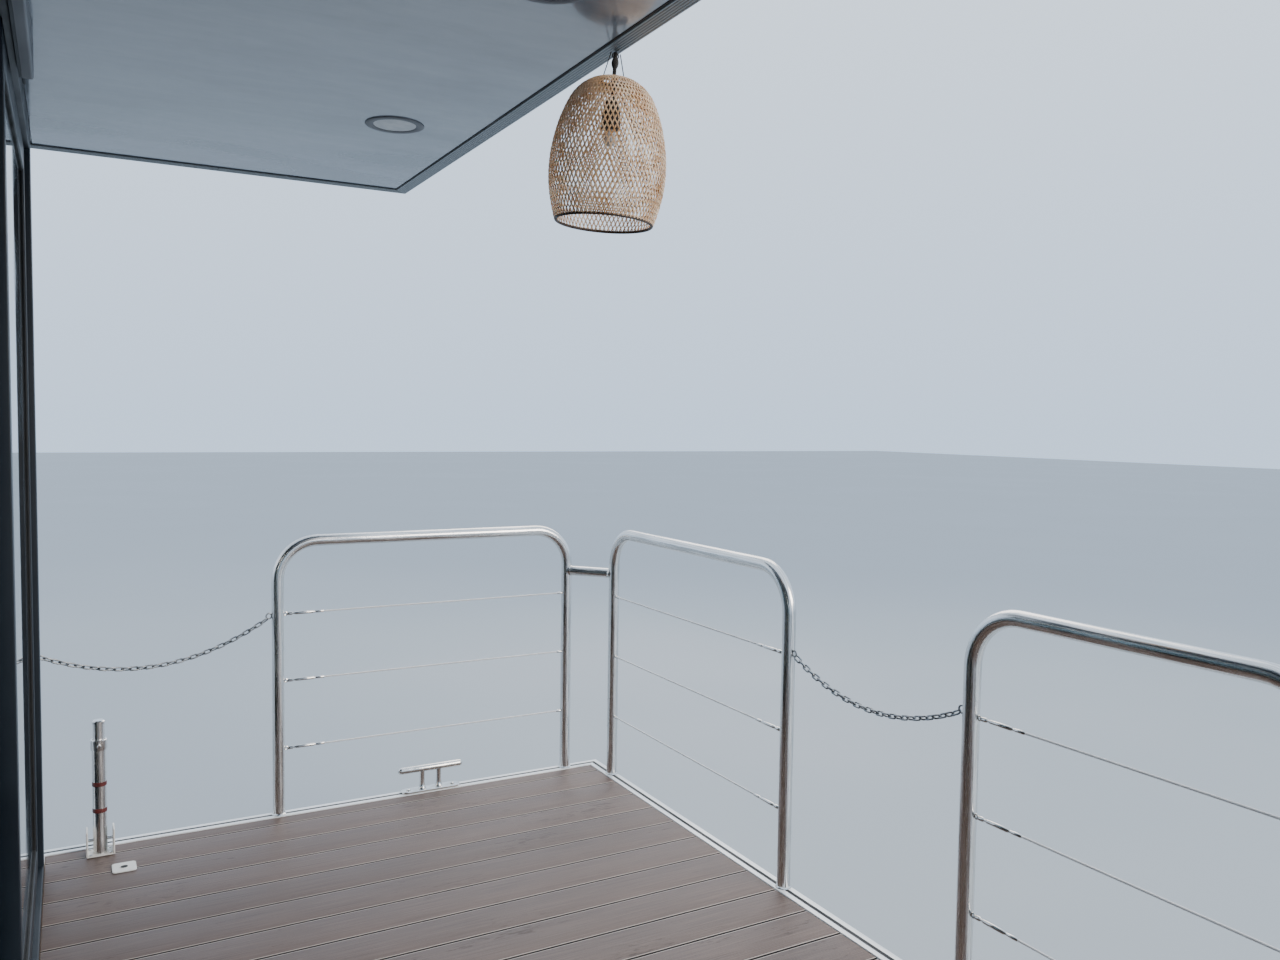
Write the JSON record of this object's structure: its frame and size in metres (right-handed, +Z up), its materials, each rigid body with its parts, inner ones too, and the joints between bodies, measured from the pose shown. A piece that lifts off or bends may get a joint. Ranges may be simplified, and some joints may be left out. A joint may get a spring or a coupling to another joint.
{
  "type": "pontoon houseboat",
  "caption": "Flat-roofed houseboat on twin pontoons, glazed sliding front, railed bow terrace with chained gates, stern deck, folding ladder and outboard.",
  "frame": {"origin": "middle of the overall length and beam, at the flat bottom of the pontoons", "axes": "+X towards the bow, +Y to port, +Z up"},
  "size_m": [12.8412, 5.1, 3.58],
  "materials": {
    "pontoon_gelcoat": "dark gelcoat, slightly chalked",
    "frame_aluminium": "mill finish, dull",
    "edge_aluminium": "bright extruded",
    "deck_board": "wood composite, brushed",
    "cabin_floor": "matt laminate",
    "wall_panel": "satin laminate",
    "tinted_glass": "clear, lightly tinted",
    "dark_frame": "anthracite powder coat",
    "interior_board": "matt white board",
    "roof_membrane": "light grey sheet",
    "roof_aluminium": "satin extruded, ribbed inside",
    "soffit_gloss": "high gloss, pale grey",
    "cassette_coat": "light grey powder coat",
    "solar_cell": "dark cells under glass",
    "stainless": "satin to polished",
    "outboard_paint": "dark gloss enamel",
    "black_cord": "matt",
    "bamboo": "split cane, open weave"
  },
  "bodies": {
    "boat": {"hull_port": "pontoon_gelcoat", "hull_starboard": "pontoon_gelcoat", "deck_frame": "frame_aluminium", "deck_edge_trim": "edge_aluminium", "bow_deck_boards": "deck_board", "stern_deck_boards": "deck_board", "cabin_floor": "cabin_floor", "wall_port": "wall_panel", "wall_starboard": "wall_panel", "wall_aft": "wall_panel", "window_port_fore": "tinted_glass", "window_port_aft": "tinted_glass", "window_starboard_fore": "tinted_glass", "window_starboard_aft": "tinted_glass", "front_frame": "dark_frame", "front_fixed_leaf_port": "dark_frame", "front_fixed_pane_port": "tinted_glass", "front_fixed_leaf_starboard": "dark_frame", "front_fixed_pane_starboard": "tinted_glass", "cabin_partition": "interior_board", "kitchen_counter": "interior_board", "roof_panel": "roof_membrane", "roof_edge_lip": "roof_aluminium", "bow_soffit": "soffit_gloss", "door_cassette": "cassette_coat", "solar_array": "solar_cell", "bow_rail_port": "stainless", "bow_rail_starboard": "stainless", "bow_rail_centre": "stainless", "stern_rail_port": "stainless", "stern_rail_starboard": "stainless", "gate_chain_bow_port": "stainless", "gate_chain_side_port": "stainless", "gate_chain_bow_starboard": "stainless", "gate_chain_side_starboard": "stainless", "cleat_bow_port": "stainless", "cleat_bow_starboard": "stainless", "cleat_stern_port": "stainless", "cleat_stern_starboard": "stainless", "post_socket": "stainless", "ladder_brackets": "stainless", "outboard_bracket": "frame_aluminium", "outboard_clamp": "outboard_paint", "lamp_hanger": "black_cord", "lamp_shade": "bamboo"},
    "front_leaf_port": {"front_sliding_leaf_port": "dark_frame", "front_sliding_pane_port": "tinted_glass"},
    "front_leaf_starboard": {"front_sliding_leaf_starboard": "dark_frame", "front_sliding_pane_starboard": "tinted_glass"},
    "aft_door": {"aft_door": "dark_frame", "aft_door_pane": "tinted_glass"},
    "roof_hatch": {"roof_hatch_lid": "dark_frame"},
    "ladder": {"boarding_ladder": "stainless"},
    "post": {"post_tube": "stainless"},
    "swivel": {"outboard_swivel": "outboard_paint"},
    "outboard": {"outboard_leg": "outboard_paint", "outboard_cowl": "outboard_paint"},
    "propeller": {"outboard_propeller": "outboard_paint"}
  },
  "joints": [
    {"name": "front_port_slide", "type": "slide", "parent": "boat", "child": "front_leaf_port", "axis": [0, 1, 0], "range_m": [0, 1.1]},
    {"name": "front_starboard_slide", "type": "slide", "parent": "boat", "child": "front_leaf_starboard", "axis": [0, -1, 0], "range_m": [0, 1.1]},
    {"name": "aft_door_hinge", "type": "hinge", "parent": "boat", "child": "aft_door", "pos_m": [-3.792, -1.3555, 1.98], "axis": [0, 0, 1], "range_deg": [0, 110]},
    {"name": "roof_hatch_hinge", "type": "hinge", "parent": "boat", "child": "roof_hatch", "pos_m": [-2.686, 0, 3.524], "axis": [0, -1, 0], "range_deg": [0, 70]},
    {"name": "ladder_fold", "type": "hinge", "parent": "boat", "child": "ladder", "pos_m": [-5.615, 0.7855, 1.06], "axis": [0, -1, 0], "range_deg": [0, 180]},
    {"name": "post_slide", "type": "slide", "parent": "boat", "child": "post", "axis": [0, 0, 1], "range_m": [0, 0.25]},
    {"name": "outboard_tilt", "type": "hinge", "parent": "boat", "child": "swivel", "pos_m": [-6.03, 0, 0.76], "axis": [0, 1, 0], "range_deg": [0, 60]},
    {"name": "outboard_steer", "type": "hinge", "parent": "swivel", "child": "outboard", "pos_m": [-6.09, 0, 0.68], "axis": [0, 0, 1], "range_deg": [-35, 35]},
    {"name": "outboard_spin", "type": "hinge", "parent": "outboard", "child": "propeller", "pos_m": [-6.38, 0, 0.19], "axis": [1, 0, 0], "continuous": true}
  ]
}
